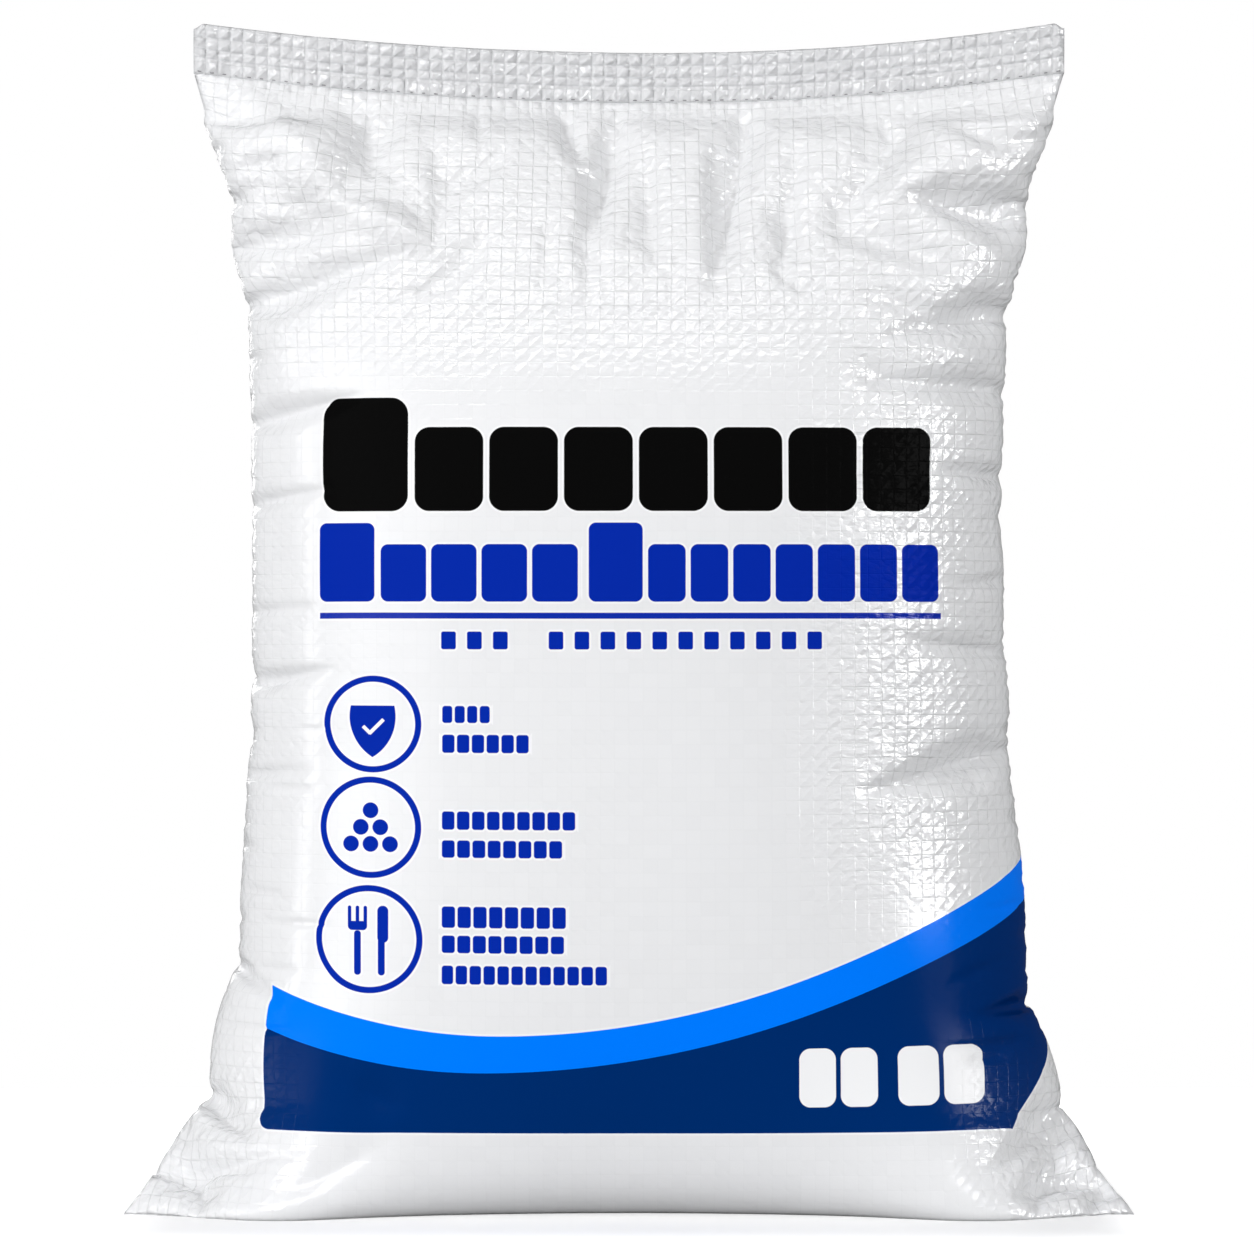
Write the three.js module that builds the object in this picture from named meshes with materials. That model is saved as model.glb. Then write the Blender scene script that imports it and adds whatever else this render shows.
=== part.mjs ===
// A filled sack of sugar that stands on its base: a woven plastic tube, closed along the top by a
// folded, stitched hem and along the bottom by a seam whose two corners splay out on the floor as ears.
// It is one closed solid. Millimetres, +Z up, front towards -Y, origin on the floor under the middle.
import * as THREE from "three";

// Driving sizes
const waistWidth = 416; // silhouette at its narrowest
const hemWidth = 488; // flat width of the sack, seen whole at the hem
const earSpan = 548; // from ear tip to ear tip
const earFade = 56; // height over which the foot narrows to the waist
const swell = 5.5; // how much the packed sugar widens the lower sack, on each side
const swellTop = 260; // where that widening ends
const swellRun = 65; // height over which it ends
const hemFade = 75; // height over which the waist widens to the hem
const seamHeight = 613; // stitched seam under the hem, at the middle
const hemTall = 28; // folded band above the seam
const cornerRise = 16; // how much higher the hem's corners stand than its middle
const cornerCurve = 2.2; // power by which they rise
const riseFrom = 415; // above this height the side edges are drawn up to the hem's corners
const footDepth = 198; // front to back, low down where the sugar has settled
const chestDepth = 172; // front to back, where the sack is still full
const chestFrom = 80; // between these heights the depth goes from the foot's to the chest's
const chestTo = 335;
const footDrawn = 0.2; // share of its depth by which the foot is rounded in at the floor
const footRound = 13; // height over which it is rounded
const fillHeight = 338; // the sugar's shoulder: above it the sack closes to the hem
const shoulderCurve = 2.1; // above 1 the sack stays full past the shoulder and closes late
const earForward = 85; // how far the ear tips lie in front of the middle
const earBendFade = 70; // height over which that bend dies away
const lobeBulge = 20; // two round lobes of sugar at the foot, towards the ears
const lobeShare = 0.7; // where they are, as a share of the half width
const lobeSpread = 0.2;
const footFade = 34; // height over which the outline turns from pointed to round
const flatZone = 70; // height below the seam over which the outline turns flat
const hemWave = 6; // the hem is not quite straight, seen from above
const hemWaveLength = 465;
const hemWavePhase = 0.7;
const hemThickness = 4.4; // several layers of folded cloth
const seamThickness = 2.4; // squeezed by the stitches
const seamStep = 4; // height over which the seam widens to the hem

// Outlines seen from above are y = depth (1 - |x|^fullness)^sharpness: round, pointed or flat with square ends.
const waistOutline = { fullness: 2.25, sharpness: 0.55 };
const footOutline = { fullness: 3.4, sharpness: 1.25 };
const hemOutline = { fullness: 12, sharpness: 0.5 };

// Fineness of the solid
const columns = 92; // points round one level, half in front and half behind
const denseSteps = 400; // steps of the dense outline that each level is sampled from
const hemLevels = [0, seamStep, 14, hemTall];
const bodyLevels = 53;
const levelCrowding = 1.35; // above 1 the levels crowd towards the floor, where the ears are

// The side edges: half width at each notch, and how far the film puffs out between it and the next one.
const leftEdge = [
  { height: 0, width: 273.6, puff: 0 },
  { height: 16, width: 260, puff: 3 },
  { height: 60, width: 229.5, puff: 5 },
  { height: 130, width: 216.5, puff: 1 },
  { height: 259, width: 209.5, puff: 1.5 },
  { height: 326, width: 209, puff: 1 },
  { height: 386, width: 209, puff: 1.5 },
  { height: 429, width: 209.5, puff: 3 },
  { height: 493, width: 211, puff: 5 },
  { height: 546, width: 221, puff: 1.5 },
  { height: seamHeight, width: hemWidth / 2, puff: 0 },
];
const rightEdge = [
  { height: 0, width: 273.6, puff: 0 },
  { height: 22, width: 256, puff: 2.5 },
  { height: 53, width: 237, puff: 3.5 },
  { height: 108, width: 219.5, puff: 5 },
  { height: 250, width: 209.5, puff: 3 },
  { height: 304, width: 208.5, puff: 1.5 },
  { height: 380, width: 206.5, puff: 1 },
  { height: 447, width: 208.5, puff: 3 },
  { height: 489, width: 210, puff: 4.5 },
  { height: 546, width: 220.5, puff: 1 },
  { height: seamHeight, width: hemWidth / 2, puff: 0 },
];
const edgeCurve = 5; // power by which the edges' own shape dies away towards the middle of the sack

// Pinches of the side edges. Each is a crease that starts on an edge at a height, runs inwards and rises.
const leftPinches = [
  { height: 553, run: 64, rise: -4, depth: 8 },
  { height: 497, run: 100, rise: 26, depth: 9 },
  { height: 431, run: 64, rise: 14, depth: 5 },
  { height: 386, run: 60, rise: 8, depth: 4 },
  { height: 361, run: 52, rise: 6, depth: 3 },
  { height: 291, run: 48, rise: 10, depth: 5 },
  { height: 257, run: 46, rise: 8, depth: 4 },
  { height: 131, run: 50, rise: -26, depth: 5 },
  { height: 88, run: 40, rise: -16, depth: 4 },
  { height: 60, run: 56, rise: -22, depth: 8 },
  { height: 18, run: 60, rise: 16, depth: 6 },
];
const rightPinches = [
  { height: 545, run: 68, rise: 12, depth: 8 },
  { height: 495, run: 84, rise: -18, depth: 9 },
  { height: 450, run: 90, rise: 4, depth: 7 },
  { height: 403, run: 70, rise: 4, depth: 5 },
  { height: 379, run: 60, rise: -4, depth: 4 },
  { height: 303, run: 78, rise: 10, depth: 5 },
  { height: 249, run: 90, rise: -22, depth: 9 },
  { height: 212, run: 60, rise: -12, depth: 4 },
  { height: 109, run: 40, rise: -2, depth: 7 },
  { height: 53, run: 62, rise: -30, depth: 8 },
  { height: 22, run: 58, rise: -10, depth: 5 },
];
const pinchReach = 10; // half height of a pinch
const pinchCurve = 1.1; // power by which a pinch dies away inwards
const pinchStart = 0.2; // share of its run over which it grows, from nothing on the edge itself
const backRun = 1.2; // how much longer the pinches run on the back

// Loose folds: valleys from one point of the front to another, as [x, z]. The first ones lie under the hem.
const looseFolds = [
  { from: [-38, 611], to: [-30, 575], depth: 4, reach: 12 },
  { from: [-6, 604], to: [-20, 533], depth: 6, reach: 12 },
  { from: [9, 578], to: [14, 515], depth: 4, reach: 12 },
  { from: [66, 600], to: [48, 511], depth: 6, reach: 12 },
  { from: [94, 580], to: [82, 507], depth: 5, reach: 12 },
  { from: [236, 604], to: [100, 537], depth: 7, reach: 13 },
  { from: [150, 606], to: [110, 553], depth: 4, reach: 12 },
  { from: [-156, 606], to: [-128, 560], depth: 8, reach: 13 },
  { from: [-238, 606], to: [-165, 595], depth: 5, reach: 11 },
  { from: [-226, 574], to: [-172, 578], depth: 4, reach: 11 },
  { from: [-228, 50], to: [-224, 6], depth: 5, reach: 11 },
  { from: [232, 46], to: [212, 4], depth: 5, reach: 11 },
];
const leafFrom = 0.12; // a fold is leaf-shaped: half a wave, a little past its start
const leafRun = 0.84;
const floorHold = 22; // near the floor and the seam nothing is pulled in
const seamHold = 22;
const deepestPull = 0.8; // share of the half depth that a pinch or fold may reach

const clamp = THREE.MathUtils.clamp;
const lerp = THREE.MathUtils.lerp;
const ease = (from, to, value) => THREE.MathUtils.smoothstep(value, from, to);

// Half of the smooth width: a waist that swells a little below and flares into the ears and into the hem.
function halfWidth(level) {
  const low = swell * (1 - ease(swellTop - swellRun, swellTop, level));
  const foot = ((earSpan - waistWidth) / 2 - swell) * Math.exp(-level / earFade);
  const head = ((hemWidth - waistWidth) / 2) * Math.exp((Math.min(level, seamHeight) - seamHeight) / hemFade);
  return waistWidth / 2 + low + foot + head;
}

// Half width of one side edge: straight from notch to notch, with a low arch between them.
function edgeWidth(level, edge) {
  const height = Math.min(level, seamHeight);
  const next = Math.max(1, edge.findIndex((notch) => notch.height >= height));
  const below = edge[next - 1];
  const above = edge[next];
  const u = (height - below.height) / (above.height - below.height);
  return lerp(below.width, above.width, u) + below.puff * 4 * u * (1 - u);
}

// Half of the depth on the centre line: rounded at the floor, full up to the shoulder, then a wedge.
function halfDepth(level) {
  if (level >= seamHeight) return lerp(seamThickness, hemThickness, ease(0, seamStep, level - seamHeight)) / 2;
  const full = lerp(footDepth, chestDepth, ease(chestFrom, chestTo, level)) / 2;
  const rounding = 1 - footDrawn * Math.exp(-level / footRound);
  const left = clamp((seamHeight - level) / (seamHeight - fillHeight), 0, 1);
  return seamThickness / 2 + full * rounding * (1 - Math.pow(1 - left, shoulderCurve));
}

// One level's outline as y over x: round sides at the waist, sharp ears at the floor, square ends at the hem.
function sectionDepth(level, share) {
  const t = Math.abs(share);
  const floor = Math.exp(-level / footFade);
  const hem = ease(seamHeight - flatZone, seamHeight, level);
  const blend = (key) => lerp(lerp(waistOutline[key], footOutline[key], floor), hemOutline[key], hem);
  const body = halfDepth(level) * Math.pow(Math.max(0, 1 - Math.pow(t, blend("fullness"))), blend("sharpness"));
  const lobes = lobeBulge * floor * Math.exp(-Math.pow((t - lobeShare) / lobeSpread, 2));
  return body + lobes;
}

// Where a level lies: the edges follow their notches, the ears come forward on the floor, the hem waves, and
// its corners rise.
function place(level, x, y) {
  const width = halfWidth(level);
  const t = x / width;
  const notched = edgeWidth(level, x < 0 ? leftEdge : rightEdge) - width;
  const moved = x + Math.sign(x) * notched * Math.pow(Math.abs(t), edgeCurve);
  const head = ease(fillHeight, seamHeight, level);
  const wave = hemWave * Math.sin((2 * Math.PI * moved) / hemWaveLength + hemWavePhase);
  const bend = head * wave - earForward * Math.exp(-level / earBendFade) * t * t;
  const corner = Math.pow(Math.abs(moved) / (hemWidth / 2), cornerCurve);
  return new THREE.Vector3(moved, y + bend, level + cornerRise * corner * ease(riseFrom, seamHeight, level));
}

// A level's closed outline at equal steps: left edge, front, right edge, back.
function outline(level) {
  const half = [];
  const width = halfWidth(level);
  for (let i = 0; i <= denseSteps; i++) {
    const share = -Math.cos((Math.PI * i) / denseSteps);
    half.push(new THREE.Vector2(share * width, sectionDepth(level, share)));
  }
  const run = [0];
  for (let i = 1; i < half.length; i++) run.push(run[i - 1] + half[i].distanceTo(half[i - 1]));
  const total = run[denseSteps];
  const even = [];
  for (let i = 0, j = 0; i <= columns / 2; i++) {
    const target = (total * i) / (columns / 2);
    while (j < denseSteps - 1 && run[j + 1] < target) j++;
    even.push(half[j].clone().lerp(half[j + 1], clamp((target - run[j]) / (run[j + 1] - run[j]), 0, 1)));
  }
  const front = even.map((p) => ({ x: p.x, y: -p.y, side: -1 }));
  const back = even.slice(1, -1).reverse().map((p) => ({ x: p.x, y: p.y, side: 1 }));
  return [...front, ...back];
}

// A valley's share at a distance from its line: deepest on the line, gone at about three reaches.
const valley = (distance, reach) => 1 / (1 + Math.pow(distance / reach, 2) * (1 + Math.pow(distance / reach, 2)));

// How far the pinches of one edge pull a point in. On the back they rise the other way.
function pinchPull(x, z, back) {
  const pinches = x < 0 ? leftPinches : rightPinches;
  const edge = halfWidth(z);
  return pinches.reduce((sum, p) => {
    const inwards = clamp((edge - Math.abs(x)) / (back ? p.run * backRun : p.run), 0, 1);
    const line = p.height + (back ? -p.rise : p.rise) * inwards;
    const share = Math.pow(1 - inwards, pinchCurve) * ease(0, pinchStart, inwards);
    return sum + p.depth * share * valley(z - line, pinchReach);
  }, 0);
}

// How far the loose folds pull a point in. The back has the same folds the other way round.
function foldPull(x, z, back) {
  return looseFolds.reduce((sum, f) => {
    const a = new THREE.Vector2((back ? -1 : 1) * f.from[0], f.from[1]);
    const b = new THREE.Vector2((back ? -1 : 1) * f.to[0], f.to[1]);
    const along = b.clone().sub(a);
    const t = clamp(new THREE.Vector2(x, z).sub(a).dot(along) / along.lengthSq(), 0, 1);
    const distance = a.addScaledVector(along, t).distanceTo(new THREE.Vector2(x, z));
    return sum + f.depth * Math.sin(Math.PI * (leafFrom + leafRun * t)) * valley(distance, f.reach);
  }, 0);
}

// One level of the finished sack: its outline in its place, pulled in by pinches and folds.
function ring(level) {
  const free = ease(0, floorHold, level) * (1 - ease(seamHeight - seamHold, seamHeight, level));
  return outline(level).map(({ x, y, side }) => {
    const p = place(level, x, y);
    const pull = free * (pinchPull(x, p.z, side > 0) + foldPull(x, p.z, side > 0));
    p.y -= side * Math.min(deepestPull * Math.abs(y), pull);
    return p;
  });
}

function levels() {
  const body = Array.from({ length: bodyLevels }, (_, k) => seamHeight * Math.pow(k / bodyLevels, levelCrowding));
  return [...body, ...hemLevels.map((above) => seamHeight + above)];
}

// The rings joined by bands of quads, and closed by a flat face on the floor and a narrow one on top.
function sackGeometry() {
  const rings = levels().map(ring);
  const position = rings.flat().flatMap((p) => [p.x, p.y, p.z]);
  const at = (k, i) => k * columns + ((i + columns) % columns);
  const index = [];
  for (let k = 0; k + 1 < rings.length; k++) {
    for (let i = 0; i < columns; i++) {
      index.push(at(k, i), at(k, i + 1), at(k + 1, i + 1));
      index.push(at(k, i), at(k + 1, i + 1), at(k + 1, i));
    }
  }
  const closeWith = (k, faceDown) => {
    for (let i = 0; i < columns / 2; i++) {
      const corners = [at(k, i), at(k, i + 1), at(k, columns - i - 1), at(k, columns - i)];
      const faces = [[corners[0], corners[1], corners[3]], [corners[1], corners[2], corners[3]]];
      for (const face of faces) {
        if (new Set(face).size === 3) index.push(...(faceDown ? face.reverse() : face));
      }
    }
  };
  closeWith(0, true);
  closeWith(rings.length - 1, false);
  const geometry = new THREE.BufferGeometry();
  geometry.setAttribute("position", new THREE.Float32BufferAttribute(position, 3));
  geometry.setIndex(index);
  geometry.computeVertexNormals();
  return geometry;
}

const sack = new THREE.Mesh(
  sackGeometry(),
  new THREE.MeshStandardMaterial({ color: 0xf1f2f4, roughness: 0.34, metalness: 0 }),
);
sack.name = "sack";
sack.geometry.computeBoundingBox();
sack.position.y = -sack.geometry.boundingBox.getCenter(new THREE.Vector3()).y;

const bagOfSugar = new THREE.Group();
bagOfSugar.add(sack);

export default bagOfSugar;
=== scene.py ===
# %% [markdown]
# # A bag of sugar
# This lesson dresses a plain CAD solid as a filled sack of woven, laminated plastic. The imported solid
# gives the size and the place. Everything that the eye sees is made here: the creased film, the folded
# hem with its stitches, and the print.

import time

import bpy
import numpy as np
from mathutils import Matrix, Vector


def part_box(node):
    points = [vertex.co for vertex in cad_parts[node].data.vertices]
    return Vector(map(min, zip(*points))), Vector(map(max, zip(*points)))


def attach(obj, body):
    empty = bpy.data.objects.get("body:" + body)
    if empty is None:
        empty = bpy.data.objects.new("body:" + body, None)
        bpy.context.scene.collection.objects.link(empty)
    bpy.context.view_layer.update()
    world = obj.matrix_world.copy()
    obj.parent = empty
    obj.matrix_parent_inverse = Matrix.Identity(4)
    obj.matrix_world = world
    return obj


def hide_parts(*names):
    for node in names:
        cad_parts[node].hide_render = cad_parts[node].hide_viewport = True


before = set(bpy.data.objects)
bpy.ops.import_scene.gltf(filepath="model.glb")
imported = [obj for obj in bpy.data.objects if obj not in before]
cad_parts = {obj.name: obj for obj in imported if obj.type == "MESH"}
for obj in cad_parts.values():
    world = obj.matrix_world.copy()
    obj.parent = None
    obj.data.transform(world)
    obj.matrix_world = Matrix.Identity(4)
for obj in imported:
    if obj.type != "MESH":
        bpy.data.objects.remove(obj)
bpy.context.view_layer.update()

# %% [markdown]
# ## Sizes
# The sack is a flat tube, sewn shut at both ends. Where it is full it is narrower than it was flat, and
# at its two ends it keeps its flat width. All sizes are real ones, in metres.

# %% Sizes
WAIST_WIDTH = 0.416  # silhouette at its narrowest
HEM_WIDTH = 0.488  # flat width of the sack
EAR_SPAN = 0.548  # from one ear's tip to the other's
EAR_FADE = 0.056  # height over which the foot narrows to the waist
SWELL = 0.0055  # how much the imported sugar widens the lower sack, on each side
SWELL_TOP = 0.260  # where that widening ends
HEM_FADE = 0.075  # height over which the waist widens to the hem
SEAM_HEIGHT = 0.613  # the stitched seam under the hem, at the middle
HEM_TALL = 0.028  # the folded band above the seam
CORNER_RISE = 0.016  # how much higher the hem's corners stand than its middle
CORNER_CURVE = 2.2  # power by which they rise
FOOT_DEPTH = 0.198  # front to back, low down
CHEST_DEPTH = 0.172  # front to back, where the sack is still full
FILL_HEIGHT = 0.338  # the sugar's shoulder
EAR_FORWARD = 0.085  # how far the ears' tips lie in front of the middle
HEM_THICKNESS = 0.0044
SEAM_THICKNESS = 0.0024
rng = np.random.default_rng(25)

# %% [markdown]
# ## The smooth form
# Without its creases the sack is a stack of closed outlines, one for each height. Each outline is a
# rounded box that is pointed at the floor, where the ears are, and flat as a letter at the hem.

# %% The smooth form
def ease(start, end, value):
    """Smooth step: t = (value - start) / (end - start), kept in 0..1, then t * t * (3 - 2 t)."""
    t = np.clip((value - start) / (end - start), 0, 1)
    return t * t * (3 - 2 * t)


def mix(a, b, share):
    """a + (b - a) * share"""
    return a + (b - a) * share


def half_width(level):
    """Half the waist, a low swell, a flare that dies away up from the floor and one that dies away down
    from the hem."""
    swell = SWELL * (1 - ease(SWELL_TOP - 0.065, SWELL_TOP, level))
    foot = ((EAR_SPAN - WAIST_WIDTH) / 2 - SWELL) * np.exp(-level / EAR_FADE)
    head = (HEM_WIDTH - WAIST_WIDTH) / 2 * np.exp((np.minimum(level, SEAM_HEIGHT) - SEAM_HEIGHT) / HEM_FADE)
    return WAIST_WIDTH / 2 + swell + foot + head


# The side edges are scalloped: the film is drawn in where a crease meets the edge, and puffs out between.
# For each such notch: its height, the half width there, and how far the film puffs out above it.
LEFT_NOTCHES = np.array([
    (0.0, 0.2736, 0.0), (0.016, 0.2600, 0.0030), (0.060, 0.2295, 0.0050), (0.130, 0.2165, 0.0012),
    (0.259, 0.2095, 0.0014), (0.290, 0.2080, 0.0012), (0.326, 0.2092, 0.0008), (0.386, 0.2092, 0.0014),
    (0.429, 0.2096, 0.0020), (0.493, 0.2112, 0.0034), (0.546, 0.2210, 0.0008), (0.613, 0.2440, 0.0),
])
RIGHT_NOTCHES = np.array([
    (0.0, 0.2736, 0.0), (0.022, 0.2560, 0.0026), (0.053, 0.2372, 0.0036), (0.108, 0.2205, 0.0038),
    (0.250, 0.2096, 0.0028), (0.304, 0.2084, 0.0014), (0.380, 0.2066, 0.0010), (0.402, 0.2072, 0.0014),
    (0.447, 0.2086, 0.0022), (0.489, 0.2098, 0.0028), (0.546, 0.2215, 0.0004), (0.613, 0.2440, 0.0),
])


def edge_width(level, notches):
    """Half width of one side: straight from notch to notch, plus puff * 4 u (1 - u) for u in 0..1 between two."""
    height, width, puff = notches.T
    level = np.minimum(level, SEAM_HEIGHT)
    gap = np.clip(np.searchsorted(height, level, side="right") - 1, 0, len(height) - 2)
    u = (level - height[gap]) / (height[gap + 1] - height[gap])
    return mix(width[gap], width[gap + 1], u) + puff[gap] * 4 * u * (1 - u)


def half_depth(level):
    """Full depth / 2 up to the shoulder, then 1 - (1 - left)^2.1 of it, where left falls from 1 to 0 at
    the seam."""
    full = mix(FOOT_DEPTH, CHEST_DEPTH, ease(0.080, 0.335, level)) / 2
    rounding = 1 - 0.2 * np.exp(-level / 0.013)
    left = np.clip((SEAM_HEIGHT - level) / (SEAM_HEIGHT - FILL_HEIGHT), 0, 1)
    body = SEAM_THICKNESS / 2 + full * rounding * (1 - (1 - left) ** 2.1)
    band = mix(SEAM_THICKNESS, HEM_THICKNESS, ease(0, 0.004, level - SEAM_HEIGHT)) / 2
    return np.where(level >= SEAM_HEIGHT, band, body)


def section_depth(level, share):
    """y over x of one outline: depth * (1 - |t|^n)^m, plus two low lobes on the floor. t = x / half width."""
    t = np.abs(share)
    floor = np.exp(-level / 0.034)
    hem = ease(SEAM_HEIGHT - 0.070, SEAM_HEIGHT, level)
    fullness = mix(mix(2.25, 3.4, floor), 12, hem)
    sharpness = mix(mix(0.55, 1.25, floor), 0.5, hem)
    body = half_depth(level) * np.maximum(0, 1 - t**fullness) ** sharpness
    return body + 0.020 * floor * np.exp(-(((t - 0.70) / 0.20) ** 2))


def place(level, x, y):
    """Brings the ears forward by t^2 on the floor, waves the hem by a sine, and lifts its corners by |x|^2.2."""
    t = x / half_width(level)
    edge = np.where(x < 0, edge_width(level, LEFT_NOTCHES), edge_width(level, RIGHT_NOTCHES))
    x = x + np.sign(x) * (edge - half_width(level)) * np.abs(t) ** 5
    bend = -EAR_FORWARD * np.exp(-level / 0.070) * t**2
    bend = bend + ease(FILL_HEIGHT, SEAM_HEIGHT, level) * 0.006 * np.sin(2 * np.pi * x / 0.465 + 0.7)
    rise = CORNER_RISE * (np.abs(x) / (HEM_WIDTH / 2)) ** CORNER_CURVE * ease(0.415, SEAM_HEIGHT, level)
    return np.stack([x, y + bend, level + rise], axis=-1)


def smooth_form(rows, columns, top):
    """Outlines at equal steps of height, each with its points at equal steps of its own length. Gives the
    points, and the length round the sack from the middle of the front."""
    level = np.linspace(0, top, rows)[:, None]
    share = -np.cos(np.pi * np.arange(1201) / 1200)[None, :]
    x = share * half_width(level)
    y = section_depth(level, share)
    run = np.concatenate([np.zeros((rows, 1)), np.cumsum(np.hypot(np.diff(x), np.diff(y)), axis=1)], axis=1)
    half = columns // 2
    even = run[:, -1:] * np.linspace(0, 1, half + 1)[None, :]
    x = np.stack([np.interp(even[r], run[r], x[r]) for r in range(rows)])
    y = np.stack([np.interp(even[r], run[r], y[r]) for r in range(rows)])
    x = np.concatenate([x, x[:, 1:-1][:, ::-1]], axis=1)
    y = np.concatenate([-y, y[:, 1:-1][:, ::-1]], axis=1)
    along = run[:, -1:] * (np.arange(columns)[None, :] / half - 0.5)
    return place(np.broadcast_to(level, x.shape), x, y), along


# The CAD solid is centred front to back on its own box, so the form is moved by the same amount.
sample, _ = smooth_form(151, 320, SEAM_HEIGHT)
low, high = np.array(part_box("sack"))
shift_form = np.array([0, (sample[..., 1].min() + sample[..., 1].max() - low[1] - high[1]) / 2, 0])
print("smooth form", sample.reshape(-1, 3).min(0), sample.reshape(-1, 3).max(0), "moved by", -shift_form)

# %% [markdown]
# ## Where the film is loose
# The tube was flat and is now bent round the sugar, so it has cloth to spare along its side edges, over
# its ears and below its hem. That spare cloth is what makes creases. Each crease that the sack shows is
# started at its own place, and a small cloth solver then finds the shape of the film around it.

# %% Creases that are listed one by one
# Pinches of the side edges: height, run inwards, rise along the run, depth. All in metres.
LEFT_PINCHES = np.array([
    (0.555, 0.032, 0.010, 0.006), (0.497, 0.100, 0.026, 0.020), (0.431, 0.070, 0.014, 0.011),
    (0.386, 0.050, 0.008, 0.006), (0.326, 0.040, 0.004, 0.004), (0.285, 0.046, 0.010, 0.008),
    (0.235, 0.040, 0.006, 0.004), (0.131, 0.034, -0.020, 0.008), (0.060, 0.044, -0.022, 0.013),
    (0.018, 0.060, 0.016, 0.011),
])
RIGHT_PINCHES = np.array([
    (0.543, 0.070, 0.014, 0.021), (0.495, 0.080, -0.018, 0.020), (0.450, 0.090, 0.004, 0.013),
    (0.400, 0.044, 0.006, 0.008), (0.345, 0.034, -0.006, 0.005), (0.303, 0.070, 0.010, 0.008),
    (0.249, 0.090, -0.022, 0.018), (0.109, 0.030, -0.002, 0.008), (0.053, 0.056, -0.028, 0.014),
    (0.022, 0.058, -0.010, 0.008),
])
PINCH_REACH = 0.0030  # half height of a pinch at its inner end
PINCH_WIDENS = 1.05  # the deeper a pinch, the taller: this times its depth is added to its half height
MOST_OF_THICKNESS = 0.8  # no crease gets deeper than this share of the half thickness
# Folds of the loose film: from (x, z), to (x, z), depth, reach. A depth below zero is a ridge.
LOOSE_FOLDS = np.array([
    (-0.038, 0.611, -0.030, 0.575, 0.008, 0.008), (-0.006, 0.604, -0.020, 0.533, 0.012, 0.009),
    (0.009, 0.578, 0.014, 0.515, 0.007, 0.009), (0.066, 0.600, 0.048, 0.511, 0.012, 0.009),
    (0.094, 0.580, 0.082, 0.507, 0.009, 0.008), (0.232, 0.606, 0.117, 0.540, -0.010, 0.010),
    (0.160, 0.604, 0.108, 0.532, 0.010, 0.012), (-0.156, 0.606, -0.128, 0.560, 0.013, 0.012),
    (-0.238, 0.606, -0.165, 0.595, 0.008, 0.009), (-0.209, 0.610, -0.152, 0.548, -0.017, 0.011),
    (-0.158, 0.551, -0.108, 0.525, -0.014, 0.009), (-0.214, 0.530, -0.160, 0.536, 0.011, 0.012),
    (-0.212, 0.574, -0.172, 0.578, 0.006, 0.009), (0.190, 0.590, 0.222, 0.590, 0.004, 0.009),
    (0.135, 0.530, 0.178, 0.522, 0.006, 0.010), (0.128, 0.500, 0.165, 0.494, 0.005, 0.009),
    (0.120, 0.462, 0.160, 0.452, 0.005, 0.009), (-0.112, 0.590, -0.092, 0.545, 0.005, 0.012),
    (-0.246, 0.044, -0.230, 0.001, 0.012, 0.008), (-0.182, 0.014, -0.124, 0.045, 0.005, 0.016),
    (0.243, 0.048, 0.217, 0.001, 0.013, 0.008), (0.258, 0.022, 0.252, 0.001, 0.007, 0.005),
    (-0.150, 0.070, -0.120, 0.058, 0.004, 0.012),
])


def valley(distance, reach):
    """exp(-(|distance| / reach)^1.3): a crease with a nearly sharp bottom that is gone at about three reaches."""
    return np.exp(-((np.abs(distance) / reach) ** 1.3))


def facets(distance, reach):
    """max(0, 1 - |distance| / reach)^1.2: two nearly flat facets that meet in a sharp line."""
    return np.maximum(0, 1 - np.abs(distance) / reach) ** 1.2


def half_thickness(points):
    """Half the distance in y between each point and the one at the same x on the other side of the sack."""
    y = points[..., 1]
    return np.abs(y - np.roll(y[:, ::-1], 1, axis=1)) / 2


def crease_depth(points, back):
    """How far the listed creases press a point in, from its x and z. A crease never gets deeper than most of the
    half thickness h: depth becomes 0.8 h tanh(depth / 0.8 h)."""
    x, z = points[..., 0], points[..., 2]
    inner = half_width(z) - np.abs(x)
    depth = np.zeros_like(x)
    for pinches, side in ((LEFT_PINCHES, x < 0), (RIGHT_PINCHES, x >= 0)):
        for height, run, rise, deep in pinches:
            inwards = np.clip(inner / np.where(back, run * 1.2, run), 0, 1)
            line = height + np.where(back, -rise, rise) * inwards
            profile = (1 - inwards**1.5) * ease(-0.02, 0.22, inwards)
            depth += side * deep * profile * facets(z - line, PINCH_REACH + PINCH_WIDENS * deep * profile)
    turn = np.where(back, -1, 1)
    for x0, z0, x1, z1, deep, reach in LOOSE_FOLDS:
        way = np.array([x1 - x0, z1 - z0])
        t = np.clip(((x * turn - x0) * way[0] + (z - z0) * way[1]) / (way @ way), 0, 1)
        away = np.hypot(x * turn - x0 - t * way[0], z - z0 - t * way[1])
        leaf = np.sin(np.pi * (0.12 + 0.84 * t))
        depth += deep * leaf * valley(away, reach * (0.55 + 0.45 * leaf))
    most = MOST_OF_THICKNESS * half_thickness(points) + 1e-5
    return most * np.tanh(depth / most)


# %% [markdown]
# ## The cloth as points and links
# Woven plastic bends easily and hardly stretches. So the film is a net of points, and the solver gives
# every link between two of them its own length back, again and again, in a few passes over whole arrays.

# %% Links of the cloth
def links(rows, columns, down, across):
    """Pairs of points that are `down` rows and `across` columns apart, in two batches with no point shared."""
    r, c = np.meshgrid(np.arange(rows - down), np.arange(columns), indexing="ij")
    a = r * columns + c
    b = (r + down) * columns + (c + across) % columns
    batch = (r // down) % 2 if down else (c // across) % 2
    return [(a[batch == k], b[batch == k]) for k in (0, 1)]


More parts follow.
